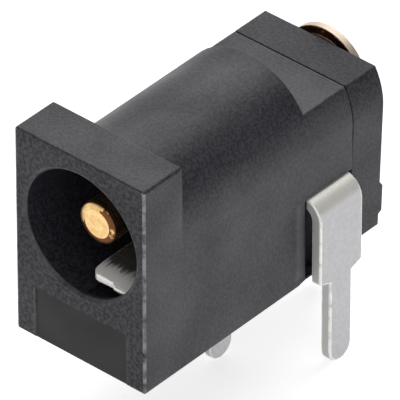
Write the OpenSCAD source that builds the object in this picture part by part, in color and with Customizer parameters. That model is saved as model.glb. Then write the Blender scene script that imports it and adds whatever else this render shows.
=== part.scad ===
// Right-angle DC power jack for board mounting, with a switched sleeve contact.
// Millimetres. The body stands on the board at z = 0, its front face is at y = 0,
// and the plug enters along +y on an axis over x = 0.

/* [Body] */
// Width of the front flange
flange_w = 6; // [5.96:0.02:6.8]
// Height of the front flange above the board
flange_h = 8.8; // [8.5:0.1:10]
// Thickness of the front flange
flange_t = 2; // [1.2:0.1:3]
// Corner radius of the front flange
flange_r = 0.14; // [0.05:0.01:0.3]
// Diameter of the barrel, and width of the body below it
barrel_d = 5.94; // [5.9:0.01:5.96]
// Distance from the front face to the rear end of the barrel
barrel_l = 9; // [8:0.1:10]
// Length of the flat shelf behind the barrel
shelf_l = 2.2; // [2:0.1:3]
// Height of the flat shelf above the board
shelf_z = 7; // [6.9:0.05:7.4]
// Height of the plug axis above the board
axis_z = 5.5; // [5.4:0.05:5.6]

/* [Plug opening] */
// Diameter of the plug opening
bore_d = 5.1; // [4.9:0.05:5.2]
// Wall between the plug opening and the rear end of the barrel
bore_end_t = 0.6; // [0.4:0.05:0.8]
// Chamfer round the mouth of the plug opening
mouth_chamfer = 0.12; // [0.05:0.01:0.2]
// Half width of the shallow recess low on the front face
recess_half_w = 2.1; // [1.5:0.05:2.4]
// Height of the shallow recess's upper edge above the board
recess_top = 2.2; // [1.5:0.05:2.4]
// Depth of the shallow recess
recess_depth = 0.05; // [0.03:0.01:0.2]

/* [Rear block] */
// Thickness of the rear block
block_t = 1.66; // [1.4:0.02:2]
// Open joint line between the housing and the rear block
seam_gap = 0.04; // [0.02:0.01:0.08]
// How far the rear block's underside stays above the board
block_lift = 0.08; // [0.05:0.01:0.3]
// How much each side of the rear block leans in towards the board
block_draft = 0.18; // [0.05:0.01:0.3]
// Width of the spigot that fills the housing's rear pocket
spigot_w = 3.4; // [3:0.1:3.8]
// Height of the spigot above the plug axis
spigot_up = 1.2; // [1.16:0.01:1.22]
// Depth of the spigot below the plug axis
spigot_down = 1.35; // [1.25:0.01:1.45]
// Length of the spigot inside the housing
spigot_l = 1.5; // [1:0.1:1.6]
// How far the rear foot stands out from the rear block
foot_t = 0.17; // [0.1:0.01:0.4]
// Height of the rear foot's lower edge above the board
foot_low_z = 0.56; // [0.4:0.02:0.8]
// Height of the rear foot's upper edge above the board
foot_high_z = 2; // [1.6:0.05:2.4]

/* [Centre pin] */
// Diameter of the centre pin in the plug opening
pin_d = 1.65; // [1.5:0.05:1.7]
// Diameter of the pin's thicker shank behind the plug opening
shank_d = 2; // [1.9:0.02:2]
// How far the pin's tip sits behind the front face
pin_recess = 0.5; // [0.3:0.05:1]
// Radius round the pin's tip
pin_nose_r = 0.3; // [0.2:0.05:0.7]
// Diameter of the pin's rear head
head_d = 3.5; // [3.3:0.05:4]
// Thickness of the pin's rear head
head_t = 0.34; // [0.2:0.02:0.5]

/* [Sheet terminals] */
// Thickness of the pin and switch terminals
sheet_t = 0.45; // [0.4:0.01:0.5]
// Width of each solder lead
lead_w = 1.18; // [0.9:0.02:1.3]
// Length of the sleeve and switch leads below the board face
lead_l = 3.9; // [3:0.1:5]
// Length of the pin terminal's lead below the board face
pin_lead_l = 3.5; // [3:0.1:5]
// How far the shoulders above each lead slope down below the board face
shoulder_l = 0.2; // [0.1:0.02:0.4]
// Diameter of the pin terminal's round eye
eye_d = 2.9; // [2.7:0.05:3.1]
// How far the eye and the strip stand out from the rear block
eye_out = 0.2; // [0.1:0.01:0.3]
// Width of the pin terminal's strip
strip_w = 1.9; // [1.6:0.05:2.2]
// Width of the switch terminal
switch_w = 2.3; // [2:0.02:2.36]
// How far the switch terminal's rear edge stays inside the housing's rear end
switch_inset = 0.1; // [0.05:0.01:0.3]
// Distance from the middle of the body to the switch terminal's outer face
switch_out = 3.56; // [3.5:0.02:4]
// Distance from the middle of the body to the switch terminal's inner end
switch_in = 0.9; // [0.7:0.05:1.2]
// Inside radius of the switch terminal's bend
switch_bend_r = 0.43; // [0.3:0.01:0.6]
// Depth of the wall recess behind the switch terminal
switch_recess = 0.5; // [0.3:0.05:0.6]
// Height of the lip that closes the wall recess towards the board
recess_lip = 0.12; // [0.06:0.02:0.4]
// Width of the bevel on the wall recess's front edge
bevel_w = 0.46; // [0.3:0.02:0.6]
// Depth of that bevel
bevel_depth = 0.07; // [0.03:0.01:0.12]

/* [Sleeve contact] */
// Thickness of the spring sheet
spring_t = 0.3; // [0.2:0.01:0.34]
// How high the spring's top face stands over the floor of the plug opening
spring_rise = 0.86; // [0.75:0.01:0.9]
// Distance from the middle of the body to the spring's inner edge
spring_x = 0.08; // [0.04:0.01:0.3]
// Width of the spring
spring_w = 2.1; // [1.9:0.05:2.15]
// Distance from the front face to the spring's front end
spring_front = 0.42; // [0.35:0.01:0.8]
// Radius of the spring's inner front corner
spring_corner_r = 0.25; // [0.1:0.05:0.5]
// Width of the spring's rounded nose
nose_w = 1.2; // [1:0.05:1.5]
// How far the nose stands out in front of the inner corner
nose_out = 0.14; // [0.05:0.01:0.3]
// Radius of the nose's corners
nose_r = 0.35; // [0.2:0.05:0.5]
// Length of the lip that leads the plug in at the spring's front end
lip_l = 0.6; // [0.4:0.05:1]
// How far the lip turns down
lip_drop = 0.12; // [0.05:0.01:0.2]
// Free room under the spring
spring_travel = 0.75; // [0.5:0.05:0.9]
// Width of the tongue that reaches under the switch terminal
tongue_w = 1.5; // [1.4:0.05:1.6]
// Drop from the spring down to the tongue
tongue_drop = 0.7; // [0.65:0.01:0.75]
// How far the tongue's end stays inside the housing's rear end
tongue_inset = 0.8; // [0.5:0.05:1.1]
// Distance from the bottom of the plug opening to the middle of the sleeve contact's lead
sleeve_setback = 1.16; // [0.96:0.02:2]
// Distance from the middle of the body to the sleeve contact's upright
upright_x = -0.05; // [-0.1:0.01:0]
// Width of the sleeve contact's upright
upright_w = 1.8; // [1.4:0.05:1.9]
// Inside radius of the bend into the upright
upright_bend_r = 0.15; // [0.1:0.01:0.2]

/* [Clearances] */
// Clearance round the contacts in their slots
slot_gap = 0.03; // [0.02:0.005:0.05]
// Clearance round the pin's shank in the housing
pin_gap = 0.05; // [0.03:0.01:0.08]
// Clearance round the shank and the spigot where they are pressed in
press_gap = 0.01; // [0.005:0.005:0.02]

/* [Hidden] */
$fn = 96;
past = 1; // how far a cut runs past the face that it opens
steps = 10; // straight pieces in each formed curve

plastic = [0.17, 0.17, 0.18];
block_plastic = [0.24, 0.24, 0.25];
brass = [0.86, 0.68, 0.36];
tin = [0.74, 0.74, 0.71];
spring_silver = [0.84, 0.83, 0.8];

// housing
body_r = barrel_d / 2;
shell_l = barrel_l + shelf_l;
bore_depth = barrel_l - bore_end_t;
pocket_y = shell_l - spigot_l;

// rear block
block_y = shell_l + seam_gap;
block_end = block_y + block_t;
seat_y = block_end + eye_out; // face that the pin's head is drawn against
strip_y = seat_y - sheet_t;
foot_y = block_end + foot_t;
foot_slope = foot_t * 1.3;
foot_chamfer = foot_t / 2;

// sleeve contact
spring_z = axis_z - bore_d / 2 + spring_rise;
spring_low = spring_z - spring_t;
channel_z = spring_low - spring_travel;
lip_y = spring_front + spring_t / 2;
channel_y = spring_front - 4 * slot_gap;
sleeve_lead_y = bore_depth - sleeve_setback;
upright_y = sleeve_lead_y - upright_w / 2;
upright_end = sleeve_lead_y + upright_w / 2;
upright_r = upright_bend_r + spring_t;
upright_top = spring_z - upright_r;
seat_x = upright_x + upright_r;
tongue_y = bore_depth + 0.4 * bore_end_t;
tongue_end = shell_l - tongue_inset;
tongue_z = spring_z - tongue_drop;
tongue_room_z = tongue_z - spring_t - spring_travel;

// switch terminal
plate_z = tongue_z + sheet_t;
switch_end = shell_l - switch_inset;
switch_y = switch_end - switch_w;
switch_r = switch_bend_r + sheet_t;
switch_top = plate_z - switch_r;

// A flat shape in x and z, drawn out along y.
module slab(y0, y1) {
    translate([0, y1, 0]) rotate([90, 0, 0]) linear_extrude(y1 - y0) children();
}

// A flat shape in y and z, drawn out along x.
module sheet(x0, x1) {
    translate([x0, 0, 0]) rotate([90, 0, 90]) linear_extrude(x1 - x0) children();
}

// Places a turned shape on the plug axis, with its own z along y.
module on_axis(y) {
    translate([0, y, axis_z]) rotate([-90, 0, 0]) children();
}

module rect(x0, z0, x1, z1) {
    polygon([[x0, z0], [x1, z0], [x1, z1], [x0, z1]]);
}

module rounded_rect(w, h, r) {
    rect(-w / 2, r, w / 2, h - r);
    rect(-w / 2 + r, 0, w / 2 - r, h);
    for (x = [-w / 2 + r, w / 2 - r], z = [r, h - r]) translate([x, z]) circle(r, $fn = 32);
}

// The body's section: a round top on straight sides that may lean in towards the board.
module body_section(draft = 0) {
    translate([0, axis_z]) circle(body_r);
    polygon([[-body_r, axis_z], [body_r, axis_z], [body_r - draft, 0], [draft - body_r, 0]]);
}

module shelf_section(draft = 0, low_z = 0) {
    intersection() {
        body_section(draft);
        rect(-body_r, low_z, body_r, shelf_z);
    }
}

// A terminal's flat blade: full width down to the board, then sloping shoulders and a round-ended lead.
module blade(middle, w, top, l = lead_l) {
    tip = lead_w / 2 - l;
    translate([middle, tip]) circle(lead_w / 2, $fn = 48);
    translate([middle, 0]) polygon([
        [-w / 2, top], [-w / 2, 0], [-lead_w / 2, -shoulder_l], [-lead_w / 2, tip],
        [lead_w / 2, tip], [lead_w / 2, -shoulder_l], [w / 2, 0], [w / 2, top]]);
}

module spigot_section(gap) {
    rect(-spigot_w / 2 + gap, axis_z - spigot_down + gap, spigot_w / 2 - gap, axis_z + spigot_up - gap);
}

module plug_opening() {
    on_axis(-past) cylinder(bore_depth + past, r = bore_d / 2);
    on_axis(-past) cylinder(mouth_chamfer + past, r1 = bore_d / 2 + mouth_chamfer + past, r2 = bore_d / 2);
    on_axis(0) cylinder(shell_l + past, r = shank_d / 2 + pin_gap);
}

// Room for the spring: deep under its free arm and its tongue, shallow where it is seated.
module spring_channel() {
    x0 = spring_x - slot_gap;
    x1 = spring_x + spring_w + slot_gap;
    top = spring_z + slot_gap;
    slab(channel_y, upright_y) rect(x0, channel_z, x1, top);
    slab(channel_y, upright_end) rect(x0, spring_low, x1, top);
    slab(upright_y - slot_gap, upright_end) rect(x0, channel_z, seat_x, top);
    slab(upright_end - slot_gap, shell_l + past)
        rect(x0, tongue_room_z, spring_x + tongue_w + slot_gap, top);
    slab(upright_y - slot_gap, shell_l + past)
        rect(upright_x - slot_gap, -past, upright_x + spring_t + slot_gap, top);
}

// The slot for the switch terminal's plate and the recess behind its drop, both open to the rear.
module switch_slot() {
    y0 = switch_y - 2 * slot_gap;
    edge = body_r - switch_recess;
    slab(switch_y - slot_gap, shell_l + past)
        rect(switch_in - slot_gap, tongue_z, body_r + past, plate_z + slot_gap);
    slab(y0, shell_l + past) rect(edge, recess_lip, body_r + past, plate_z + slot_gap);
    translate([0, 0, -past]) linear_extrude(plate_z + past)
        polygon([[body_r, y0 - bevel_w], [body_r + past, y0 - bevel_w], [body_r + past, y0 + past],
                 [body_r - bevel_depth, y0 + past], [body_r - bevel_depth, y0]]);
}

// Moulded body with the plug opening, the shelf and the slots that take the contacts from the rear.
module housing() {
    color(plastic) difference() {
        union() {
            slab(0, flange_t) rounded_rect(flange_w, flange_h, flange_r);
            slab(0, barrel_l) body_section();
            slab(0, shell_l) shelf_section();
        }
        plug_opening();
        slab(pocket_y, shell_l + past) spigot_section(0);
        spring_channel();
        switch_slot();
        slab(-past, recess_depth) rect(-recess_half_w, -past, recess_half_w, recess_top);
    }
}

// Moulded block that closes the housing and carries the centre pin.
module rear_block() {
    color(block_plastic) difference() {
        union() {
            slab(block_y, block_end) shelf_section(block_draft, block_lift);
            slab(pocket_y, block_end) spigot_section(press_gap);
            intersection() {
                slab(block_y, foot_y) shelf_section(block_draft, block_lift);
                sheet(-body_r, body_r) polygon([
                    [block_y, foot_low_z], [block_end, foot_low_z], [foot_y, foot_low_z + foot_chamfer],
                    [foot_y, foot_high_z - foot_slope], [block_end, foot_high_z], [block_y, foot_high_z]]);
            }
        }
        on_axis(0) cylinder(seat_y + past, r = shank_d / 2 + press_gap);
        on_axis(strip_y) cylinder(sheet_t + past, r = eye_d / 2 + slot_gap);
        slab(strip_y, seat_y + past)
            rect(-strip_w / 2 - slot_gap, -past, strip_w / 2 + slot_gap, axis_z);
    }
}

// Turned pin with a thicker shank, riveted against the pin terminal with a broad rear head.
module centre_pin() {
    r = pin_d / 2;
    seat = seat_y - pin_recess;
    color(brass) on_axis(pin_recess) rotate_extrude() {
        rect(0, 0, r - pin_nose_r, seat);
        rect(0, pin_nose_r, r, seat);
        rect(0, bore_depth - pin_recess, shank_d / 2, seat);
        rect(0, seat, head_d / 2, seat + head_t);
        intersection() {
            translate([r - pin_nose_r, pin_nose_r]) circle(pin_nose_r, $fn = 48);
            rect(0, 0, r, pin_nose_r);
        }
    }
}

// Flat stamping with an eye round the pin, held down by the pin's head.
module pin_terminal() {
    color(tin) slab(strip_y, seat_y) difference() {
        union() {
            translate([0, axis_z]) circle(eye_d / 2);
            blade(0, strip_w, axis_z, pin_lead_l);
        }
        translate([0, axis_z]) circle(shank_d / 2 + press_gap);
    }
}

// Points along the spring's lip and along the step down to its tongue, z being the top or the underside.
function lip(z) = [for (i = [0:steps])
    [lip_y + lip_l * i / steps, z - lip_drop * pow(1 - i / steps, 2)]];
function step(z) = [for (t = [0:1 / steps:1])
    [upright_end + (tongue_y - upright_end) * t, z - tongue_drop * t * t * (3 - 2 * t)]];
function reversed(list) = [for (i = [len(list) - 1:-1:0]) list[i]];

// Side view of the spring and its tongue.
module spring_profile() {
    translate([lip_y, spring_z - lip_drop - spring_t / 2]) circle(spring_t / 2, $fn = 24);
    polygon(concat(lip(spring_z), step(spring_z),
                   [[tongue_end, tongue_z], [tongue_end, tongue_z - spring_t]],
                   reversed(step(spring_low)), reversed(lip(spring_low))));
}

// Spring seen from above: a rounded nose, the seated part beside the bend, and a narrower tongue.
module spring_plan() {
    r = spring_corner_r;
    x1 = spring_x + spring_w;
    nose_x = x1 - nose_w + nose_r;
    shoulder_y = spring_front + nose_out;
    translate([spring_x + r, shoulder_y + r]) circle(r, $fn = 32);
    for (x = [nose_x, x1 - nose_r]) translate([x, spring_front + nose_r]) circle(nose_r, $fn = 48);
    rect(nose_x, 0, x1 - nose_r, upright_y);
    rect(spring_x + r, shoulder_y, x1 - nose_r, upright_y);
    rect(spring_x, shoulder_y + r, x1 - nose_r, upright_y);
    rect(seat_x, spring_front + nose_r, x1, upright_end);
    rect(seat_x, spring_front + nose_r, spring_x + tongue_w, shell_l);
}

// Front view of the bend from the seated part of the spring down towards the upright.
module upright_profile() {
    rect(seat_x, spring_low, seat_x + spring_t, spring_z);
    intersection() {
        difference() {
            translate([seat_x, upright_top]) circle(upright_r, $fn = 48);
            translate([seat_x, upright_top]) circle(upright_bend_r, $fn = 48);
        }
        rect(upright_x, upright_top, seat_x, spring_z);
    }
}

// Formed spring that presses on the plug's sleeve, with its upright and lead bent down beside it.
module sleeve_contact() {
    color(spring_silver) {
        intersection() {
            sheet(spring_x - past, spring_x + spring_w + past) spring_profile();
            translate([0, 0, tongue_room_z]) linear_extrude(axis_z) spring_plan();
        }
        slab(upright_y, upright_end) upright_profile();
        sheet(upright_x, upright_x + spring_t)
            blade(sleeve_lead_y, upright_w, upright_top);
    }
}

// Front view of the switch terminal's level plate and round bend.
module switch_profile() {
    cx = switch_out - switch_r;
    rect(switch_in, tongue_z, cx, plate_z);
    intersection() {
        difference() {
            translate([cx, switch_top]) circle(switch_r, $fn = 64);
            translate([cx, switch_top]) circle(switch_bend_r, $fn = 64);
        }
        rect(cx, switch_top, switch_out, plate_z);
    }
}

// Stamped terminal that rests on the spring's tongue until a plug is put in.
module switch_terminal() {
    color(tin) {
        slab(switch_y, switch_end) switch_profile();
        sheet(switch_out - sheet_t, switch_out)
            blade(switch_y + switch_w / 2, switch_w, switch_top);
    }
}

housing();
rear_block();
centre_pin();
pin_terminal();
sleeve_contact();
switch_terminal();
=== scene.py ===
"""Looks of a right-angle DC power jack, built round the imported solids. Sizes are in millimetres."""

import logging
import math
from dataclasses import dataclass
from enum import Enum
from typing import ClassVar

import bmesh
import bpy
from mathutils import Matrix, Vector


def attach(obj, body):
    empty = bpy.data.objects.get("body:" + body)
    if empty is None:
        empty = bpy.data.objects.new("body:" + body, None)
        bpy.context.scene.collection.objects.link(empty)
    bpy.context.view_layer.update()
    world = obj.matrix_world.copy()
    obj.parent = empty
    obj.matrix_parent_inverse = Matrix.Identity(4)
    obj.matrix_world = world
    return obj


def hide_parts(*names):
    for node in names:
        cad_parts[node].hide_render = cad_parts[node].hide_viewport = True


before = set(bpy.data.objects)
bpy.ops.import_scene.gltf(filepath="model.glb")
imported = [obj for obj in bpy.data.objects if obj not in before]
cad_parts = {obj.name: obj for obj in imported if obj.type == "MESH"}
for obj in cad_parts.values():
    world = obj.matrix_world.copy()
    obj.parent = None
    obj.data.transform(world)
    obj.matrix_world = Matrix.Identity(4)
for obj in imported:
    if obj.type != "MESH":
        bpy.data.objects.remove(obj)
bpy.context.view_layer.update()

MM = 0.001
LOG = logging.getLogger("dc_jack")
Colour = tuple[float, float, float]
Point = tuple[float, float, float]
Node = bpy.types.Node
Socket = bpy.types.NodeSocket
Sockets = bpy.types.bpy_prop_collection
Tree = bpy.types.ShaderNodeTree


class Axis(Enum):
    """Direction that a sheet was rolled in, or that a patch is measured along."""

    X = 0
    Y = 1
    Z = 2


# ---------------------------------------------------------------- shader nodes


def feed(tree: Tree, socket: Socket, value: Socket | float | Point) -> None:
    """Links an input to another socket, or sets it to a plain value.

    Args:
        tree: the tree that the input is in.
        socket: the input.
        value: where it gets its value from.
    """
    if isinstance(value, Socket):
        tree.links.new(value, socket)
    else:
        socket.default_value = value


def add_math(
    tree: Tree, operation: str, first: Socket | float, second: Socket | float, clamp: bool = False
) -> Socket:
    """Places a Math node.

    Args:
        tree: the tree that it goes in.
        operation: Blender's name for the sum.
        first: a socket or a number.
        second: a socket or a number.
        clamp: whether the result is kept between 0 and 1.

    Returns:
        The node's output socket.
    """
    node = tree.nodes.new("ShaderNodeMath")
    node.operation = operation
    node.use_clamp = clamp
    feed(tree, node.inputs[0], first)
    feed(tree, node.inputs[1], second)
    return node.outputs[0]


def add_vector_math(tree: Tree, operation: str, first: Socket, second: Socket | Point) -> Node:
    """Places a Vector Math node.

    Args:
        tree: the tree that it goes in.
        operation: Blender's name for the sum.
        first: a vector's socket.
        second: a vector or its socket.

    Returns:
        The node.
    """
    node = tree.nodes.new("ShaderNodeVectorMath")
    node.operation = operation
    feed(tree, node.inputs[0], first)
    feed(tree, node.inputs[1], second)
    return node


def add_noise(tree: Tree, vector: Socket, scale: Socket | float, detail: float) -> Socket:
    """Places a Noise Texture.

    Args:
        tree: the tree that it goes in.
        vector: where it is sampled.
        scale: a socket or a number, in features per metre.
        detail: how many finer octaves it has.

    Returns:
        The noise value, around one half.
    """
    node = tree.nodes.new("ShaderNodeTexNoise")
    node.inputs["Detail"].default_value = detail
    feed(tree, node.inputs["Vector"], vector)
    feed(tree, node.inputs["Scale"], scale)
    return node.outputs["Fac"]


def add_ramp(tree: Tree, value: Socket, low: float, high: float) -> Socket:
    """Spreads a stretch of a value over 0 to 1.

    Args:
        tree: the tree that it goes in.
        value: the socket to spread.
        low: what becomes 0.
        high: what becomes 1.

    Returns:
        The spread value, clamped.
    """
    node = tree.nodes.new("ShaderNodeMapRange")
    node.inputs["From Min"].default_value = low
    node.inputs["From Max"].default_value = high
    feed(tree, node.inputs["Value"], value)
    return node.outputs["Result"]


def add_place(tree: Tree) -> Socket:
    """Gives the place on the part, in metres."""
    return tree.nodes.new("ShaderNodeTexCoord").outputs["Object"]


def add_face_value(tree: Tree, name: str) -> Socket:
    """Reads a value that is stored on the faces.

    Args:
        tree: the tree that it goes in.
        name: the value's name.

    Returns:
        The value's socket.
    """
    node = tree.nodes.new("ShaderNodeAttribute")
    node.attribute_name = name
    return node.outputs["Fac"]


# ---------------------------------------------------------------- shader effects


@dataclass
class EffectGroup:
    """A node group with named sockets, filled in by a subclass and built only once."""

    INPUTS: ClassVar[dict[str, float]] = {}
    OUTPUTS: ClassVar[tuple[str, ...]] = ()

    name: str

    def tree(self) -> Tree:
        """Returns the group, building it the first time."""
        found = bpy.data.node_groups.get(self.name)
        if found is None:
            found = bpy.data.node_groups.new(self.name, "ShaderNodeTree")
            for name, default in self.INPUTS.items():
                socket = found.interface.new_socket(name, in_out="INPUT", socket_type="NodeSocketFloat")
                socket.default_value = default
            for name in self.OUTPUTS:
                found.interface.new_socket(name, in_out="OUTPUT", socket_type="NodeSocketFloat")
            inside = found.nodes.new("NodeGroupInput")
            outside = found.nodes.new("NodeGroupOutput")
            self.fill(found, inside.outputs, outside.inputs)
        return found

    def fill(self, tree: Tree, inside: Sockets, outside: Sockets) -> None:
        """Makes the nodes. Each effect has its own.

        Args:
            tree: the group to fill.
            inside: the group's inputs, as seen from inside.
            outside: the group's outputs, as seen from inside.
        """
        raise NotImplementedError


class MouldedGrain(EffectGroup):
    """Fine spark-eroded texture of a mould, left out on polished faces, with a faint cloudy flow."""

    INPUTS = {"Grain Scale": 9000.0, "Flow Scale": 350.0}
    OUTPUTS = ("Height", "Grain", "Flow")
    POLISH = 0.85
    PIT_SHARE = 0.5
    SPECKS = (0.41, 0.6)
    CLOUDS = (0.35, 0.65)

    def fill(self, tree: Tree, inside: Sockets, outside: Sockets) -> None:
        """Makes the pits, the lumps between them and the flow.

        Args:
            tree: the group to fill.
            inside: the group's inputs, as seen from inside.
            outside: the group's outputs, as seen from inside.
        """
        place = add_place(tree)
        polished = add_math(tree, "MULTIPLY", add_face_value(tree, SolidSkin.OTHER_FACE), self.POLISH)
        grained = add_math(tree, "SUBTRACT", 1.0, polished)
        cells = tree.nodes.new("ShaderNodeTexVoronoi")
        cells.feature = "SMOOTH_F1"
        feed(tree, cells.inputs["Vector"], place)
        feed(tree, cells.inputs["Scale"], inside["Grain Scale"])
        pits = add_math(tree, "MULTIPLY", cells.outputs["Distance"], self.PIT_SHARE)
        lumps = add_noise(tree, place, inside["Grain Scale"], detail=3.0)
        height = add_math(tree, "ADD", pits, lumps)
        feed(tree, outside["Height"], add_math(tree, "MULTIPLY", height, grained))
        specks = add_ramp(tree, lumps, *self.SPECKS)
        feed(tree, outside["Grain"], add_math(tree, "MULTIPLY", specks, grained))
        flow = add_noise(tree, place, inside["Flow Scale"], detail=2.0)
        feed(tree, outside["Flow"], add_ramp(tree, flow, *self.CLOUDS))


class EdgeLightAndFaces(EffectGroup):
    """Painted light along rounded edges, broken up in patches: a painted highlight on most pieces and
    painted shade on the pin; and the faces that have a surface of their own.
    """

    INPUTS = {"Amount": 1.0, "Break Up": 2600.0}
    OUTPUTS = ("Painted Light", "Other")
    PATCHY = (0.3, 0.55)

    def fill(self, tree: Tree, inside: Sockets, outside: Sockets) -> None:
        """Makes the broken-up painted light on the edges and passes on the faces with a surface of their
        own.

        Args:
            tree: the group to fill.
            inside: the group's inputs, as seen from inside.
            outside: the group's outputs, as seen from inside.
        """
        spots = add_noise(tree, add_place(tree), inside["Break Up"], detail=3.0)
        edge_patch = add_ramp(tree, spots, *self.PATCHY)
        # Painted light: a lighter colour on most pieces' rounded edges stands in for highlights, a darker
        # one on the pin for shade.
        mask = add_math(tree, "MULTIPLY", add_face_value(tree, SolidSkin.EDGE_BAND), edge_patch)
        feed(tree, outside["Painted Light"], add_math(tree, "MULTIPLY", mask, inside["Amount"]))
        feed(tree, outside["Other"], add_face_value(tree, SolidSkin.OTHER_FACE))


class PaintedLightPatch(EffectGroup):
    """A soft patch of painted light or shade between two places on each axis, with an edge drawn out along
    Y in streaks.
    """

    INPUTS = {
        **{f"{side} {axis.name}": value for axis in Axis for side, value in (("Low", -1.0), ("High", 1.0))},
        "Soft": 0.0002,
        "Ragged": 0.0,
    }
    OUTPUTS = ("Mask",)
    STREAK_STRETCH = (1.0, 0.12, 1.0)
    STREAK_SCALE = 7000.0

    def fill(self, tree: Tree, inside: Sockets, outside: Sockets) -> None:
        """Makes the patch's six sides and multiplies them.

        Args:
            tree: the group to fill.
            inside: the group's inputs, as seen from inside.
            outside: the group's outputs, as seen from inside.
        """
        place = add_place(tree)
        apart = tree.nodes.new("ShaderNodeSeparateXYZ")
        feed(tree, apart.inputs[0], place)
        stretched = add_vector_math(tree, "MULTIPLY", place, self.STREAK_STRETCH).outputs["Vector"]
        streaks = add_noise(tree, stretched, self.STREAK_SCALE, detail=3.0)
        pulled = add_math(tree, "MULTIPLY", add_math(tree, "SUBTRACT", streaks, 0.5), inside["Ragged"])
        mask = 1.0
        for axis in Axis:
            at = apart.outputs[axis.value]
            if axis is Axis.Y:
                at = add_math(tree, "ADD", at, pulled)
            low, high = inside[f"Low {axis.name}"], inside[f"High {axis.name}"]
            for first, second in ((at, low), (high, at)):
                past = add_math(tree, "SUBTRACT", first, second)
                side = add_math(tree, "DIVIDE", past, inside["Soft"], clamp=True)
                mask = add_math(tree, "MULTIPLY", mask, side)
        feed(tree, outside["Mask"], mask)


class RolledSheet(EffectGroup):
    """Long faint rolling lines of sheet metal with plating mottle over them."""

    DRAWN_OUT = 0.06
    INPUTS = {"Across X": 1.0, "Across Y": 1.0, "Across Z": DRAWN_OUT, "Line Scale": 14000.0}
    OUTPUTS = ("Height", "Lines", "Mottle")
    LINES = (0.35, 0.65)
    MOTTLE_SCALE = 6000.0
    MOTTLE_SHARE = 0.8
    MOTTLES = (0.3, 0.7)

    def fill(self, tree: Tree, inside: Sockets, outside: Sockets) -> None:
        """Makes the lines and the mottle.

        Args:
            tree: the group to fill.
            inside: the group's inputs, as seen from inside.
            outside: the group's outputs, as seen from inside.
        """
        place = add_place(tree)
        stretch = tree.nodes.new("ShaderNodeCombineXYZ")
        for axis in Axis:
            feed(tree, stretch.inputs[axis.value], inside[f"Across {axis.name}"])
        drawn = add_vector_math(tree, "MULTIPLY", place, stretch.outputs[0]).outputs["Vector"]
        lines = add_noise(tree, drawn, inside["Line Scale"], detail=2.0)
        mottle = add_noise(tree, place, self.MOTTLE_SCALE, detail=4.0)
        lumps = add_math(tree, "MULTIPLY", mottle, self.MOTTLE_SHARE)
        feed(tree, outside["Height"], add_math(tree, "ADD", lines, lumps))
        feed(tree, outside["Lines"], add_ramp(tree, lines, *self.LINES))
        feed(tree, outside["Mottle"], add_ramp(tree, mottle, *self.MOTTLES))


class TurnedRings(EffectGroup):
    """Rings that a cutting tool leaves round the plug axis, on round and on flat turned faces."""

    INPUTS = {"Axis Height": 0.0055, "Ring Scale": 16000.0}
    OUTPUTS = ("Height", "Rings", "Mottle")
    RINGS = (0.35, 0.65)
    MOTTLE_SCALE = 4200.0
    MOTTLES = (0.32, 0.68)

    def fill(self, tree: Tree, inside: Sockets, outside: Sockets) -> None:
        """Makes the rings and the mottle.

        Args:
            tree: the group to fill.
            inside: the group's inputs, as seen from inside.
            outside: the group's outputs, as seen from inside.
        """
        place = add_place(tree)
        apart = tree.nodes.new("ShaderNodeSeparateXYZ")
        feed(tree, apart.inputs[0], place)
        up = add_math(tree, "SUBTRACT", apart.outputs["Z"], inside["Axis Height"])
        up_squared = add_math(tree, "MULTIPLY", up, up)
        across_squared = add_math(tree, "MULTIPLY", apart.outputs["X"], apart.outputs["X"])
        squares = add_math(tree, "ADD", across_squared, up_squared)
        ring = tree.nodes.new("ShaderNodeCombineXYZ")
        feed(tree, ring.inputs[0], add_math(tree, "SQRT", squares, 0.0))
        feed(tree, ring.inputs[1], apart.outputs["Y"])
        rings = add_noise(tree, ring.outputs[0], inside["Ring Scale"], detail=2.0)
        mottle = add_noise(tree, place, self.MOTTLE_SCALE, detail=3.0)
        feed(tree, outside["Height"], add_math(tree, "ADD", rings, mottle))
        feed(tree, outside["Rings"], add_ramp(tree, rings, *self.RINGS))
        feed(tree, outside["Mottle"], add_ramp(tree, mottle, *self.MOTTLES))


GRAIN = MouldedGrain("moulded_grain")
MARKS = EdgeLightAndFaces("edge_light_and_faces")
PATCH = PaintedLightPatch("painted_light_patch")
ROLLED = RolledSheet("rolled_sheet")
TURNED = TurnedRings("turned_rings")


# ---------------------------------------------------------------- finishes


@dataclass(frozen=True)
class Patch:
    """Where a patch of painted light or shade lies on a surface, in millimetres."""

    low: Point
    high: Point
    soft: float = 0.2
    ragged: float = 0.0


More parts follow.
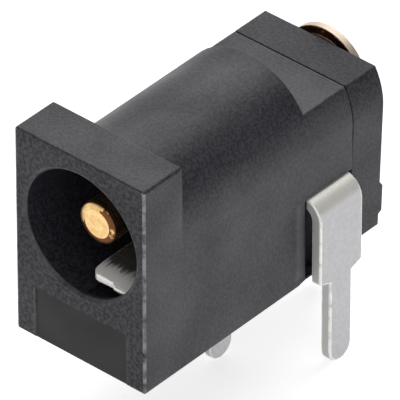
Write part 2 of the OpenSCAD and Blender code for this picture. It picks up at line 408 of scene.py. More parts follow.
@dataclass(frozen=True)
class Finish:
    """What every finish has: a name and ways to place shared effects in a new material."""

    BREAK_UP = 2600.0  # patches per metre in the painted light along an edge
    MIX_LOW, MIX_HIGH, MIX_RESULT = 6, 7, 2  # the Mix node's sockets for colours

    name: str

    def start(self) -> tuple[bpy.types.Material, Tree, Node]:
        """Makes an empty material with its shader.

        Returns:
            The material, its node tree and the Principled BSDF in it.
        """
        material = bpy.data.materials.new(self.name)
        material.use_nodes = True
        tree = material.node_tree
        return material, tree, tree.nodes["Principled BSDF"]

    @staticmethod
    def effect(tree: Tree, group: EffectGroup, values: dict[str, float]) -> Sockets:
        """Places a shared effect in a material.

        Args:
            tree: the material's tree.
            group: the effect.
            values: numbers for its inputs, by name.

        Returns:
            The effect's outputs.
        """
        node = tree.nodes.new("ShaderNodeGroup")
        node.node_tree = group.tree()
        for name, value in values.items():
            node.inputs[name].default_value = value
        return node.outputs

    def marks(self, tree: Tree, amount: float) -> Sockets:
        """Places the painted edge light and the faces with a surface of their own in a material.

        Args:
            tree: the material's tree.
            amount: how strong the painted light on the edges is.

        Returns:
            The outputs Painted Light and Other.
        """
        return self.effect(tree, MARKS, {"Amount": amount, "Break Up": self.BREAK_UP})

    def patch(self, tree: Tree, where: Patch) -> Socket:
        """Places a patch of painted light or shade in a material.

        Args:
            tree: the material's tree.
            where: the patch.

        Returns:
            Its mask.
        """
        values = {"Soft": where.soft * MM, "Ragged": where.ragged * MM}
        for axis in Axis:
            values[f"Low {axis.name}"] = where.low[axis.value] * MM
            values[f"High {axis.name}"] = where.high[axis.value] * MM
        return self.effect(tree, PATCH, values)["Mask"]

    @staticmethod
    def mix(tree: Tree, mask: Socket, low: Socket | Colour, high: Socket | Colour) -> Socket:
        """Mixes two colours by a mask.

        Args:
            tree: the material's tree.
            mask: 0 gives low and 1 gives high.
            low: a colour or a socket.
            high: a colour or a socket.

        Returns:
            The mixed colour.
        """
        node = tree.nodes.new("ShaderNodeMix")
        node.data_type = "RGBA"
        feed(tree, node.inputs["Factor"], mask)
        for place, value in ((Finish.MIX_LOW, low), (Finish.MIX_HIGH, high)):
            feed(tree, node.inputs[place], value if isinstance(value, Socket) else (*value, 1.0))
        return node.outputs[Finish.MIX_RESULT]

    @staticmethod
    def span(tree: Tree, mask: Socket, low: float, high: float) -> Socket:
        """Turns a mask into a number between two limits.

        Args:
            tree: the material's tree.
            mask: 0 gives low and 1 gives high.
            low: the number at 0.
            high: the number at 1.

        Returns:
            The number's socket.
        """
        return add_math(tree, "ADD", add_math(tree, "MULTIPLY", mask, high - low), low)

    @staticmethod
    def bump(tree: Tree, shader: Node, height: Socket, depth: float) -> None:
        """Feeds a height into the shader's normal.

        Args:
            tree: the material's tree.
            shader: the Principled BSDF.
            height: the height, about 0 to 1.
            depth: how deep a height of 1 is, in millimetres.
        """
        node = tree.nodes.new("ShaderNodeBump")
        node.inputs["Distance"].default_value = depth * MM
        feed(tree, node.inputs["Height"], height)
        feed(tree, shader.inputs["Normal"], node.outputs["Normal"])


@dataclass(frozen=True)
class MouldedPlastic(Finish):
    """Black moulded plastic with a fine matt grain, polished faces where asked, and a painted highlight, a
    lighter grey, on the edges and in lit patches.
    """

    dark: Colour = (0.008, 0.0075, 0.013)
    light: Colour = (0.036, 0.034, 0.045)
    polished: Colour = (0.006, 0.006, 0.008)
    painted_light: Colour = (0.32, 0.32, 0.33)
    rough_low: float = 0.42
    rough_high: float = 0.56
    painted_light_smooth: float = 0.1
    specular: float = 0.5
    grain_scale: float = 9000.0
    grain_depth: float = 0.009
    flow_scale: float = 350.0
    painted_edge_light: float = 1.0
    lit_patch: Patch | None = None
    lit_patch_share: float = 0.26

    def material(self) -> bpy.types.Material:
        """Builds the plastic's material.

        Returns:
            The new material.
        """
        material, tree, shader = self.start()
        scales = {"Grain Scale": self.grain_scale, "Flow Scale": self.flow_scale}
        grain = self.effect(tree, GRAIN, scales)
        marks = self.marks(tree, self.painted_edge_light)
        body = self.mix(tree, grain["Grain"], self.dark, self.light)
        faces = self.mix(tree, marks["Other"], body, self.polished)
        painted_light = marks["Painted Light"]
        if self.lit_patch is not None:
            lit_patched = add_math(tree, "MULTIPLY", self.patch(tree, self.lit_patch), self.lit_patch_share)
            painted_light = add_math(tree, "MAXIMUM", painted_light, lit_patched)
        # Painted highlight: the lighter grey on edges and in the lit patches stands in for light caught
        # there.
        feed(tree, shader.inputs["Base Color"], self.mix(tree, painted_light, faces, self.painted_light))
        rough = self.span(tree, grain["Flow"], self.rough_low, self.rough_high)
        edge_patch = add_math(tree, "MULTIPLY", marks["Painted Light"], self.painted_light_smooth)
        feed(tree, shader.inputs["Roughness"], add_math(tree, "SUBTRACT", rough, edge_patch))
        shader.inputs["Specular IOR Level"].default_value = self.specular
        self.bump(tree, shader, grain["Height"], self.grain_depth)
        return material


@dataclass(frozen=True)
class SheetMetal(Finish):
    """Stamped sheet with a satin plating: faint rolling lines, fine mottle, sheared rims, a painted
    highlight on the rounded edges, and a patch of painted light or shade where asked.
    """

    dark: Colour = (0.54, 0.532, 0.55)
    light: Colour = (0.63, 0.62, 0.636)
    sheared: Colour = (0.62, 0.615, 0.6)
    painted_light: Colour = (0.95, 0.95, 0.92)
    rough_low: float = 0.36
    rough_high: float = 0.48
    sheared_rough: float = 0.2
    painted_light_smooth: float = 0.12
    metallic: float = 0.45
    lines_along: Axis = Axis.Z
    line_scale: float = 14000.0
    line_depth: float = 0.001
    painted_edge_light: float = 1.4
    painted_patch: Patch | None = None
    painted_patch_colour: Colour = (0.97, 0.95, 0.88)

    def material(self) -> bpy.types.Material:
        """Builds the sheet's material.

        Returns:
            The new material.
        """
        material, tree, shader = self.start()
        lines = {"Line Scale": self.line_scale}
        for axis in Axis:
            lines[f"Across {axis.name}"] = ROLLED.DRAWN_OUT if axis is self.lines_along else 1.0
        sheet = self.effect(tree, ROLLED, lines)
        marks = self.marks(tree, self.painted_edge_light)
        body = self.mix(tree, sheet["Mottle"], self.dark, self.light)
        # A patch of painted light or shade, lighter or darker by its colour.
        if self.painted_patch is not None:
            body = self.mix(tree, self.patch(tree, self.painted_patch), body, self.painted_patch_colour)
        faces = self.mix(tree, marks["Other"], body, self.sheared)
        # Painted highlight: the near-white on the rounded edges stands in for light caught there.
        feed(tree, shader.inputs["Base Color"], self.mix(tree, marks["Painted Light"], faces, self.painted_light))
        rough = self.span(tree, sheet["Lines"], self.rough_low, self.rough_high)
        torn = add_math(tree, "MULTIPLY", marks["Other"], self.sheared_rough)
        edge_patch = add_math(tree, "MULTIPLY", marks["Painted Light"], self.painted_light_smooth)
        duller = add_math(tree, "ADD", rough, torn)
        feed(tree, shader.inputs["Roughness"], add_math(tree, "SUBTRACT", duller, edge_patch))
        shader.inputs["Metallic"].default_value = self.metallic
        self.bump(tree, shader, sheet["Height"], self.line_depth)
        return material


@dataclass(frozen=True)
class TurnedBrass(Finish):
    """Turned and plated pin: golden at the tip, paler on the riveted head, with fine turning rings and
    painted shade, a dark brown, round the tip and on the head's front.
    """

    dark: Colour = (0.74, 0.45, 0.18)
    light: Colour = (0.92, 0.66, 0.32)
    head: Colour = (0.66, 0.55, 0.44)
    painted_shade: Colour = (0.14, 0.055, 0.02)
    rough_low: float = 0.24
    rough_high: float = 0.38
    head_rough: float = 0.2
    axis_height: float = 5.5
    ring_scale: float = 16000.0
    ring_depth: float = 0.0012
    painted_shade_amount: float = 2.4

    def material(self) -> bpy.types.Material:
        """Builds the pin's material.

        Returns:
            The new material.
        """
        material, tree, shader = self.start()
        rings = {"Axis Height": self.axis_height * MM, "Ring Scale": self.ring_scale}
        turned = self.effect(tree, TURNED, rings)
        marks = self.marks(tree, self.painted_shade_amount)
        body = self.mix(tree, turned["Mottle"], self.dark, self.light)
        faces = self.mix(tree, marks["Other"], body, self.head)
        # Painted shade: the dark brown stands in for the shadow and the dark bore's reflection round the
        # tip and under the head.
        feed(tree, shader.inputs["Base Color"], self.mix(tree, marks["Painted Light"], faces, self.painted_shade))
        rough = self.span(tree, turned["Rings"], self.rough_low, self.rough_high)
        duller = add_math(tree, "MULTIPLY", marks["Other"], self.head_rough)
        feed(tree, shader.inputs["Roughness"], add_math(tree, "ADD", rough, duller))
        shader.inputs["Metallic"].default_value = 1.0
        self.bump(tree, shader, turned["Height"], self.ring_depth)
        return material


# ---------------------------------------------------------------- shapes


def add_object(name: str, data: bpy.types.ID) -> bpy.types.Object:
    """Places an object in the scene.

    Args:
        name: its name.
        data: its mesh, camera or lamp.

    Returns:
        The new object.
    """
    placed = bpy.data.objects.new(name, data)
    bpy.context.scene.collection.objects.link(placed)
    return placed


@dataclass(frozen=True)
class EdgeRule:
    """Edges whose ends both lie in a box get one rounding. The first rule that fits an edge counts."""

    SLACK = 1e-4  # millimetres

    low: Point
    high: Point
    radius: float

    def holds(self, edge: bmesh.types.BMEdge) -> bool:
        """Tells whether both ends of an edge lie in the box.

        Args:
            edge: an edge of a solid's mesh.

        Returns:
            True if they do.
        """
        for vert in edge.verts:
            for place, low, high in zip(vert.co / MM, self.low, self.high):
                if not low - self.SLACK <= place <= high + self.SLACK:
                    return False
        return True


@dataclass
class SolidSkin:
    """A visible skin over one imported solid, with the moulding's or the stamping's rounded edges."""

    # Face value: how much painted light a face gets.
    EDGE_BAND = "edge_band"
    OTHER_FACE = "other_face"
    FLAT_SLOT, ROUNDED_SLOT = 0, 1  # material slots while the edges are being rounded
    WELD_DISTANCE = 1e-6  # metres
    FLAT_ANGLE = 0.6  # degrees between faces that are joined up
    LEAST_ANGLE = 24.0  # degrees from which an edge is rounded
    CREASE_ANGLE = 36.0  # degrees from which an edge is shaded sharp
    LEAST_RADIUS = 0.001  # millimetres
    FACING = 0.9  # a face looks along an axis from this part of its normal
    EDGE_ON = 0.3  # a face stands edge on to an axis below this part of its normal

    name: str = ""
    node: str = ""
    slot: str = ""
    radius: float = 0.04
    segments: int = 3

    def rules(self) -> list[EdgeRule]:
        """Gives the edges with a rounding of their own. A piece without any uses its radius everywhere."""
        return []

    def finishes(self) -> list[Finish]:
        """Gives the piece's finishes. Each piece has its own."""
        raise NotImplementedError

    def finish_at(self, middle: Vector, normal: Vector) -> int:
        """Tells which finish a face has.

        Args:
            middle: the face's middle, in millimetres.
            normal: the way it faces.

        Returns:
            The finish's place in the list.
        """
        return 0

    def painted_light_share(self, middle: Vector, normal: Vector, rounded: bool) -> float:
        """Tells how much painted light a face gets: a painted highlight, or on the pin painted shade.

        Args:
            middle: the face's middle, in millimetres.
            normal: the way it faces.
            rounded: whether it belongs to a rounded edge.

        Returns:
            0 for not at all to 1 for fully.
        """
        return float(rounded)

    def other_share(self, middle: Vector, normal: Vector) -> float:
        """Tells which faces have a surface of their own, such as sheared rims.

        Args:
            middle: the face's middle, in millimetres.
            normal: the way it faces.

        Returns:
            1 on such a face, or 0.
        """
        return 0.0

    def rounding(self, edge: bmesh.types.BMEdge, rules: list[EdgeRule]) -> float:
        """Gives the rounding of one edge.

        Args:
            edge: an edge of the merged mesh.
            rules: the piece's own rules.

        Returns:
            Its radius in millimetres, or 0 where it stays sharp.
        """
        if len(edge.link_faces) != 2 or not edge.is_convex:
            return 0.0
        if edge.calc_face_angle(0.0) < math.radians(self.LEAST_ANGLE):
            return 0.0
        for rule in rules:
            if rule.holds(edge):
                return rule.radius
        return self.radius

    def merged(self) -> bmesh.types.BMesh:
        """Copies the solid's mesh with its flat faces joined up.

        Returns:
            The merged mesh, which the caller frees.
        """
        mesh = bmesh.new()
        mesh.from_mesh(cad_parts[self.node].data)
        bmesh.ops.remove_doubles(mesh, verts=mesh.verts, dist=self.WELD_DISTANCE)
        flat = math.radians(self.FLAT_ANGLE)
        bmesh.ops.dissolve_limit(mesh, angle_limit=flat, verts=mesh.verts, edges=mesh.edges)
        mesh.normal_update()
        return mesh

    def build(self) -> bpy.types.Object:
        """Builds the skin's object in place of its solid.

        Returns:
            The object, riding on the root body.
        """
        merged = self.merged()
        rules = self.rules()
        radii = [self.rounding(edge, rules) for edge in merged.edges]
        widest = max([self.LEAST_RADIUS, *radii])
        mesh = bpy.data.meshes.new(self.name)
        merged.to_mesh(mesh)
        merged.free()
        weights = mesh.attributes.new("bevel_weight_edge", "FLOAT", "EDGE")
        weights.data.foreach_set("value", [radius / widest for radius in radii])
        body = add_object(self.name, mesh)
        self.round_edges(body, widest)
        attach(body, "root")
        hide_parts(self.node)
        return body

    def dress(self, body: bpy.types.Object) -> None:
        """Gives the skin its material.

        Args:
            body: the skin's object.
        """
        mesh = body.data
        mesh.materials.clear()
        for finish in self.finishes():
            mesh.materials.append(finish.material())
        chosen = [self.finish_at(face.center / MM, face.normal) for face in mesh.polygons]
        mesh.polygons.foreach_set("material_index", chosen)
        LOG.info("%s: %d faces", self.name, len(mesh.polygons))

    def bake(self, body: bpy.types.Object) -> bpy.types.Mesh:
        """Applies the object's modifiers.

        Args:
            body: the object, which is given the result.

        Returns:
            The new mesh.
        """
        bpy.context.view_layer.update()
        shown = body.evaluated_get(bpy.context.evaluated_depsgraph_get())
        result = bpy.data.meshes.new_from_object(shown)
        body.modifiers.clear()
        body.data = result
        return result

    def mark_faces(self, mesh: bpy.types.Mesh) -> None:
        """Writes how much painted light each face gets and which faces have a surface of their own.

        Args:
            mesh: the rounded mesh, in millimetres, with its rounded faces in a slot of their own.
        """
        painted_light, other = [], []
        for face in mesh.polygons:
            rounded = face.material_index == self.ROUNDED_SLOT
            painted_light.append(self.painted_light_share(face.center, face.normal, rounded))
            other.append(self.other_share(face.center, face.normal))
        for name, values in ((self.EDGE_BAND, painted_light), (self.OTHER_FACE, other)):
            stored = mesh.attributes.new(name, "FLOAT", "FACE")
            stored.data.foreach_set("value", values)

    def round_edges(self, body: bpy.types.Object, widest: float) -> None:
        """Rounds the weighted edges, marks the faces and shades them.

        The work is done on the mesh at a thousand times its size, because a sheet's edge is only a few
        hundredths of a millimetre.

        Args:
            body: the object to work on. Its mesh is replaced.
            widest: the largest radius, in millimetres, which a weight of 1 means.
        """
        body.data.transform(Matrix.Scale(1 / MM, 4))
        bevel = body.modifiers.new("rounding", "BEVEL")
        bevel.limit_method = "WEIGHT"
        bevel.width = widest
        bevel.segments = self.segments
        bevel.use_clamp_overlap = False
        bevel.miter_outer = "MITER_ARC"
        bevel.material = self.ROUNDED_SLOT
        for _ in (self.FLAT_SLOT, self.ROUNDED_SLOT):
            body.data.materials.append(None)
        body.modifiers.new("simple_faces", "TRIANGULATE").min_vertices = 5
        rounded = self.bake(body)
        self.mark_faces(rounded)
        rounded.polygons.foreach_set("material_index", [self.FLAT_SLOT] * len(rounded.polygons))
        rounded.materials.clear()
        rounded.shade_smooth()
        rounded.set_sharp_from_angle(angle=math.radians(self.CREASE_ANGLE))
        body.modifiers.new("flat_faces", "WEIGHTED_NORMAL").keep_sharp = True
        self.bake(body).transform(Matrix.Scale(MM, 4))


@dataclass
class Housing(SolidSkin):
    """The moulded housing, with its flange, barrel, shelf and plug opening."""

    name: str = "housing_skin"
    node: str = "housing"
    slot: str = "black_plastic"
    half_width: float = 3.0
    flange_height: float = 8.8
    flange_thickness: float = 2.0
    barrel_end: float = 9.0
    shelf_end: float = 11.2
    shelf_height: float = 7.0
    axis_height: float = 5.5
    opening_radius: float = 2.55
    recess_half_width: float = 2.1
    recess_top: float = 2.2
    recess_depth: float = 0.05
    slot_front: float = 8.77
    slot_top: float = 3.59
    mouth_radius: float = 0.03
    recess_radius: float = 0.02
    flange_front_radius: float = 0.09
    flange_rear_radius: float = 0.06
    barrel_radius: float = 0.08
    shelf_radius: float = 0.06
    rim_band: float = 0.15
    rim_painted_light: float = 0.14
    rest_painted_light: float = 0.06

    def rules(self) -> list[EdgeRule]:
        """Gives the flange, the mouth, the recess, the barrel and the shelf their own roundings."""
        w, h, back = self.half_width, self.flange_height, self.flange_thickness
        end, shelf = self.barrel_end, self.shelf_height
        mouth = self.opening_radius + 0.2
        side, top = self.recess_half_width + 0.05, self.recess_top + 0.1
        low, high = self.axis_height - mouth, self.axis_height + mouth
        return [
            EdgeRule((-mouth, 0, low), (mouth, 0.2, high), self.mouth_radius),
            EdgeRule((-side, 0, 0.01), (side, 0.1, top), self.recess_radius),
            EdgeRule((-w, 0, 0), (w, 0, h), self.flange_front_radius),
            *(EdgeRule((x - 0.2, back, 0), (x + 0.2, back, h - 0.14), 0.0) for x in (-w, w)),
            EdgeRule((-w, back, 0), (w, back, h), self.flange_rear_radius),
            EdgeRule((-w, end, shelf), (w, end, h), self.barrel_radius),
            EdgeRule((-w, end - 0.01, shelf), (w, self.shelf_end, shelf), self.shelf_radius),
        ]

    def painted_light_share(self, middle: Vector, normal: Vector, rounded: bool) -> float:
        """Paints a highlight most strongly on the upright edges of the flange's front, less on the
        opening's rim, and a little on the rest.

        Args:
            middle: the face's middle, in millimetres.
            normal: the way it faces.
            rounded: whether it belongs to a rounded edge.

        Returns:
            0 for not at all to 1 for fully.
        """
        at_front = middle.y < self.rim_band
        at_side = abs(middle.x) > self.half_width - self.rim_band
        upright, flat = abs(normal.z) < 0.35, normal.y < -0.99
        # Painted highlight, strongest on the flange's upright front edges and weaker round the opening's
        # rim.
        if at_front and at_side and upright:
            return float(rounded)
        from_rim = abs(math.hypot(middle.x, middle.z - self.axis_height) - self.opening_radius)
        if at_front and from_rim < self.rim_band and not flat:
            return self.rim_painted_light
        return self.rest_painted_light * rounded

    def other_share(self, middle: Vector, normal: Vector) -> float:
        """Marks the polished floor of the shallow recess on the front face.

        Args:
            middle: the face's middle, in millimetres.
            normal: the way it faces.

        Returns:
            1 on that floor, or 0.
        """
        inside = abs(middle.x) < self.recess_half_width and middle.z < self.recess_top
        on_floor = abs(middle.y - self.recess_depth) < 0.004
        return float(inside and on_floor and normal.y < -self.FACING)

    def finish_at(self, middle: Vector, normal: Vector) -> int:
        """Gives the flange's front face its coarser finish.

        Args:
            middle: the face's middle, in millimetres.
            normal: the way it faces.

        Returns:
            1 on the front face and in its recess, or 0.
        """
        return int(normal.y < -self.FACING and middle.y < self.recess_depth + 0.01)

    def finishes(self) -> list[Finish]:
        """Gives the moulding's general finish and the coarser one of the front face, with a painted
        highlight beside the terminal's slot and along the recess's left edge.
        """
        side, w = self.recess_half_width, self.half_width
        slot, top = self.slot_front, self.slot_top
        # Patches of painted highlight, a lighter grey: the recess's lit left edge and a lit strip beside
        # the terminal's slot.
        recess_edge = Patch((-side - 0.12, -0.1, 0.1), (-side + 0.01, 0.1, self.recess_top), 0.03)
        beside_slot = Patch((w - 1.0, slot - 0.72, 0.2), (w + 1.0, slot + 0.01, top + 0.11), 0.22, 0.2)
        return [
            MouldedPlastic("black_moulding", lit_patch=beside_slot),
            MouldedPlastic(
                "front_moulding",
                dark=(0.001, 0.001, 0.003),
                light=(0.056, 0.053, 0.063),
                rough_low=0.5,
                rough_high=0.64,
                specular=0.36,
                grain_scale=6500.0,
                grain_depth=0.016,
                lit_patch=recess_edge,
                lit_patch_share=0.16,
            ),
        ]


@dataclass
class RearBlock(SolidSkin):
    """The moulded block that closes the housing at the rear."""

    name: str = "rear_block_skin"
    node: str = "rear_block"
    slot: str = "rear_plastic"
    radius: float = 0.05
    block_front: float = 11.24
    painted_light: float = 0.06

    def painted_light_share(self, middle: Vector, normal: Vector, rounded: bool) -> float:
        """Paints a faint highlight on the block's outer edges.

        Args:
            middle: the face's middle, in millimetres.
            normal: the way it faces.
            rounded: whether it belongs to a rounded edge.

        Returns:
            0 for not at all to 1 for fully.
        """
        return self.painted_light * (rounded and middle.y > self.block_front)

    def finishes(self) -> list[Finish]:
        """Gives the block a finish slightly darker than the housing's."""
        dark, light = (0.001, 0.001, 0.004), (0.03, 0.028, 0.038)
        return [MouldedPlastic("rear_moulding", dark=dark, light=light, specular=0.42)]


@dataclass
class CentrePin(SolidSkin):
    """The turned centre pin with its riveted head."""

    name: str = "centre_pin_skin"
    node: str = "centre_pin"
    slot: str = "pin_brass"
    radius: float = 0.06
    head_front: float = 13.1
    axis_height: float = 5.5
    nose_end: float = 0.8
    worn_nose_end: float = 1.0
    worn_nose_share: float = 0.3
    lit_side_from: float = 0.45
    lit_side_painted_light: float = 0.1

    def merged(self) -> bmesh.types.BMesh:
        """Copies the solid's mesh with its nose flattened by wear and set slightly further back.

        Returns:
            The merged mesh, which the caller frees.
        """
        mesh = super().merged()
        for vert in mesh.verts:
            ahead = self.nose_end - vert.co.y / MM
            on_nose = ahead > -0.01
            if on_nose:
                vert.co.y = (self.worn_nose_end - ahead * self.worn_nose_share) * MM
        mesh.normal_update()
        return mesh

    def painted_light_share(self, middle: Vector, normal: Vector, rounded: bool) -> float:
        """Paints shade, a dark brown, on the head's front and on the ring round the flat tip, least at the
        ring's lit upper left.

        Args:
            middle: the face's middle, in millimetres.
            normal: the way it faces.
            rounded: whether it belongs to a rounded edge.

        Returns:
            0 for not at all to 1 for fully.
        """
        if middle.y > self.worn_nose_end:
            under_head = abs(middle.y - self.head_front) < 0.08
            return float(under_head and normal.y < -0.5)
        flat_tip = normal.y < -0.999
        if flat_tip:
            return 0.0
        # The ring's upper left is lit, so it gets little painted shade.
        lit_side = middle.z - middle.x > self.axis_height + self.lit_side_from
        return self.lit_side_painted_light if lit_side else 1.0

    def other_share(self, middle: Vector, normal: Vector) -> float:
        """Marks the head, which riveting and the plating have left paler.

        Args:
            middle: the face's middle, in millimetres.
            normal: the way it faces.

        Returns:
            1 on the head's rim and rear, or 0.
        """
        return float(middle.y > self.head_front + 0.005)

    def finishes(self) -> list[Finish]:
        """Gives the pin its turned brass."""
        return [TurnedBrass("turned_brass", axis_height=self.axis_height)]


@dataclass
class PinTerminal(SolidSkin):
    """The flat terminal behind the block, with its eye round the pin."""

    name: str = "pin_terminal_skin"
    node: str = "pin_terminal"
    slot: str = "tinned_sheet"
    radius: float = 0.05
    shaded_from: float = 6.0

    def other_share(self, middle: Vector, normal: Vector) -> float:
        """Marks the sheared rim all round the strip and the lead.

        Args:
            middle: the face's middle, in millimetres.
            normal: the way it faces.

        Returns:
            1 on the rim, or 0.
        """
        return float(abs(normal.y) < self.EDGE_ON and middle.z < self.shaded_from)

    def finishes(self) -> list[Finish]:
        """Gives the terminal its tin plating, with painted shade, a dark brown, at the top of the eye."""
        # Painted shade: the dark brown at the top of the eye stands in for the shade between the block and
        # the pin's head.
        eye = Patch((-3.0, 12.0, self.shaded_from), (3.0, 14.0, 9.0), 0.4)
        return [SheetMetal("tin_plate_flat", painted_patch=eye, painted_patch_colour=(0.1, 0.075, 0.055))]


@dataclass
class SleeveContact(SolidSkin):
    """The formed spring with its upright and lead."""

    name: str = "sleeve_contact_skin"
    node: str = "sleeve_contact"
    slot: str = "spring_sheet"
    upright_end: float = 3.06
    lip_end: float = 1.35

    def other_share(self, middle: Vector, normal: Vector) -> float:
        """Marks the sheared rims of the spring and of the upright.

        Args:
            middle: the face's middle, in millimetres.
            normal: the way it faces.

        Returns:
            1 on a rim, or 0.
        """
        if middle.z < self.upright_end:
            return float(abs(normal.x) < self.EDGE_ON)
        upright = abs(normal.z) < 0.2
        return float(upright and abs(normal.x) > self.FACING)

    def finish_at(self, middle: Vector, normal: Vector) -> int:
        """Tells the spring in the bore, painted in shade, and its front edge, painted as a highlight, from
        the upright and the lead.

        Args:
            middle: the face's middle, in millimetres.
            normal: the way it faces.

        Returns:
            1 on the spring, 2 on its front edge, or 0.
        """
        if middle.z < self.upright_end:
            return 0
        front_edge = normal.y < -0.6
        return 2 if front_edge else 1

    def finishes(self) -> list[Finish]:
        """Gives the upright its tin, painted lighter than the other terminals' to make up for the shade
        under the body; the spring a dark metal that is painted shade; its lip a painted highlight in
        streaks; and its front edge a painted highlight.
        """
        # Painted highlight in streaks on the spring's lip, where it catches the light at the opening.
        lip = Patch((-3.0, -1.0, 2.0), (3.0, self.lip_end, 6.0), 0.3, 1.1)
        return [
            # Painted light: this tin is lighter than the other terminals' to make up for the shade under
            # the body.
            SheetMetal("tin_plate_upright", dark=(0.66, 0.65, 0.67), light=(0.76, 0.75, 0.765)),
            # Painted shade: the spring's dark colour stands in for the shade and dark reflections inside
            # the bore.
            SheetMetal(
                "spring_painted_shade",
                dark=(0.06, 0.06, 0.065),
                light=(0.13, 0.13, 0.135),
                painted_patch=lip,
                painted_patch_colour=(0.98, 0.97, 0.95),
                sheared=(0.8, 0.8, 0.79),
                rough_low=0.4,
                rough_high=0.55,
                metallic=0.15,
                lines_along=Axis.Y,
                line_scale=7000.0,
                line_depth=0.008,
            ),
            # Painted highlight along the spring's front edge.
            SheetMetal("spring_edge", dark=(0.84, 0.83, 0.81), light=(0.97, 0.96, 0.94), metallic=0.7),
        ]


@dataclass
class SwitchTerminal(SolidSkin):
    """The stamped and bent terminal of the switch contact."""

    name: str = "switch_terminal_skin"
    node: str = "switch_terminal"
    slot: str = "tinned_sheet"
    radius: float = 0.085
    shoulder_height: float = 0.05
    bend_start: float = 2.75

    def other_share(self, middle: Vector, normal: Vector) -> float:
        """Marks the sheared rim, which faces along the bend or round the lead.

        Args:
            middle: the face's middle, in millimetres.
            normal: the way it faces.

        Returns:
            1 on the rim, or 0.
        """
        if middle.z < self.shoulder_height:
            return float(abs(normal.x) < self.EDGE_ON)
        return float(abs(normal.y) > self.FACING)

    def finishes(self) -> list[Finish]:
        """Gives the terminal its satin tin plating, with a painted highlight, a paler cream, on the bend.
        """
        # Painted highlight: the paler cream on the bend stands in for light caught there.
        bend = Patch((2.0, 8.0, self.bend_start), (4.0, 12.0, 6.0), 0.6)
        return [SheetMetal("tin_plate_bent", painted_patch=bend)]


# ---------------------------------------------------------------- studio


@dataclass(frozen=True)
class Softbox:
    """A square soft lamp. Its size and distance are in metres, and power 1 is as bright as white paper."""

    azimuth: float = -160.0
    elevation: float = 48.0
    size: float = 0.6
    away: float = 0.6
    power: float = 1.25


@dataclass(frozen=True)
class DarkWall:
    """A darker part of the room. Start and full are cosines of the angle from its middle."""

    azimuth: float
    elevation: float
    start: float
    full: float


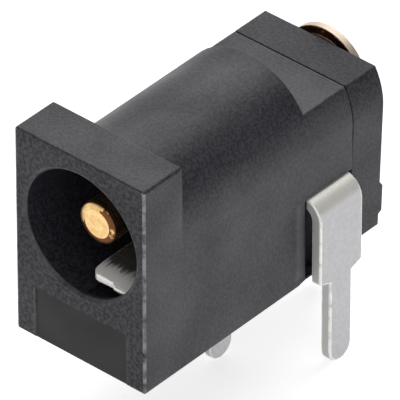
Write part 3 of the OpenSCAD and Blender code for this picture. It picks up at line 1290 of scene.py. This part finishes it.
@dataclass
class Studio:
    """Floor, lamp, room light and camera. Angles are in degrees, azimuths from the front towards +X."""

    azimuth: float = 41.0
    elevation: float = 36.7
    aim: Point = (-0.089, 6.485, 3.369)
    distance: float = 317.8
    lens: float = 810.0
    sensor_width: float = 36.0
    near_clip: float = 0.01
    far_clip: float = 20.0
    floor_height: float = -3.9
    floor_half: float = 3.0
    floor_grey: float = 0.8
    floor_rough: float = 0.9
    floor_specular: float = 0.1
    floor_glow: float = 0.62
    middle: Point = (0.0, 6.5, 2.0)
    softbox: Softbox = Softbox()
    room_level: float = 0.95
    wall_drop: float = 0.8
    walls: tuple[DarkWall, ...] = (DarkWall(128, 16, 0.5, 0.85), DarkWall(-40, 40, 0.6, 0.95))

    @staticmethod
    def direction(azimuth: float, elevation: float) -> Vector:
        """Gives the way to something seen from the part.

        Args:
            azimuth: degrees round from the front, towards +X.
            elevation: degrees up.

        Returns:
            A unit vector.
        """
        a, e = math.radians(azimuth), math.radians(elevation)
        return Vector((math.sin(a) * math.cos(e), -math.cos(a) * math.cos(e), math.sin(e)))

    @staticmethod
    def hang(thing: bpy.types.Object, target: Point, way: Vector, away: float) -> None:
        """Places a lamp or the camera so that it looks at a target.

        Args:
            thing: the lamp or the camera.
            target: what it looks at, in millimetres.
            way: the way to it from the target.
            away: its distance from the target, in metres.
        """
        thing.location = Vector(target) * MM + way * away
        thing.rotation_euler = (-way).to_track_quat("-Z", "Y").to_euler()

    def place_camera(self) -> None:
        """Makes the camera and hands it to the scene."""
        data = bpy.data.cameras.new("camera")
        data.sensor_width = self.sensor_width
        data.lens = self.lens
        data.clip_start = self.near_clip
        data.clip_end = self.far_clip
        camera = add_object("camera", data)
        self.hang(camera, self.aim, self.direction(self.azimuth, self.elevation), self.distance * MM)
        bpy.context.scene.camera = camera

    def hang_softbox(self) -> None:
        """Makes the lamp above and behind the part."""
        box = self.softbox
        data = bpy.data.lights.new("softbox", "AREA")
        data.shape = "SQUARE"
        data.size = box.size
        data.energy = box.power * math.pi * box.size * box.size
        lamp = add_object("softbox", data)
        self.hang(lamp, self.middle, self.direction(box.azimuth, box.elevation), box.away)

    def light_room(self) -> None:
        """Lights the room plainly, with less light from two of its walls."""
        world = bpy.data.worlds.new("room")
        bpy.context.scene.world = world
        world.use_nodes = True
        tree = world.node_tree
        background = tree.nodes["Background"]
        way = tree.nodes.new("ShaderNodeTexCoord").outputs["Generated"]
        dark = 0.0
        for wall in self.walls:
            towards = self.direction(wall.azimuth, wall.elevation)
            cosine = add_vector_math(tree, "DOT_PRODUCT", way, towards).outputs["Value"]
            dark = add_math(tree, "MAXIMUM", dark, add_ramp(tree, cosine, wall.start, wall.full))
        drop = add_math(tree, "MULTIPLY", dark, self.wall_drop)
        feed(tree, background.inputs["Strength"], add_math(tree, "SUBTRACT", self.room_level, drop))
        background.inputs["Color"].default_value = (1.0, 1.0, 1.0, 1.0)

    def lay_floor(self) -> None:
        """Lays a plain white floor that keeps a soft shadow."""
        mesh = bpy.data.meshes.new("floor")
        half, z = self.floor_half, self.floor_height * MM
        corners = [(-half, -half, z), (half, -half, z), (half, half, z), (-half, half, z)]
        mesh.from_pydata(corners, [], [range(len(corners))])
        floor = add_object("floor", mesh)
        material = bpy.data.materials.new("floor_paper")
        material.use_nodes = True
        tree = material.node_tree
        shader = tree.nodes["Principled BSDF"].inputs
        shader["Base Color"].default_value = (self.floor_grey, self.floor_grey, self.floor_grey, 1.0)
        shader["Roughness"].default_value = self.floor_rough
        shader["Specular IOR Level"].default_value = self.floor_specular
        path = tree.nodes.new("ShaderNodeLightPath").outputs
        seen = add_math(tree, "MAXIMUM", path["Is Camera Ray"], path["Is Glossy Ray"])
        seen = add_math(tree, "MAXIMUM", seen, path["Is Transmission Ray"])
        shader["Emission Color"].default_value = (1.0, 1.0, 1.0, 1.0)
        feed(tree, shader["Emission Strength"], add_math(tree, "MULTIPLY", seen, self.floor_glow))
        mesh.materials.append(material)

    def build(self) -> None:
        """Builds the whole studio."""
        bpy.context.scene.view_settings.view_transform = "Standard"
        self.place_camera()
        self.light_room()
        self.lay_floor()
        self.hang_softbox()
        LOG.info("studio ready")


def main() -> None:
    """Builds the studio and every piece in order."""
    logging.basicConfig(level=logging.INFO, format="%(message)s")
    Studio().build()
    for piece in (Housing(), RearBlock(), CentrePin(), PinTerminal(), SleeveContact(), SwitchTerminal()):
        piece.dress(piece.build())


if __name__ == "__main__":
    main()
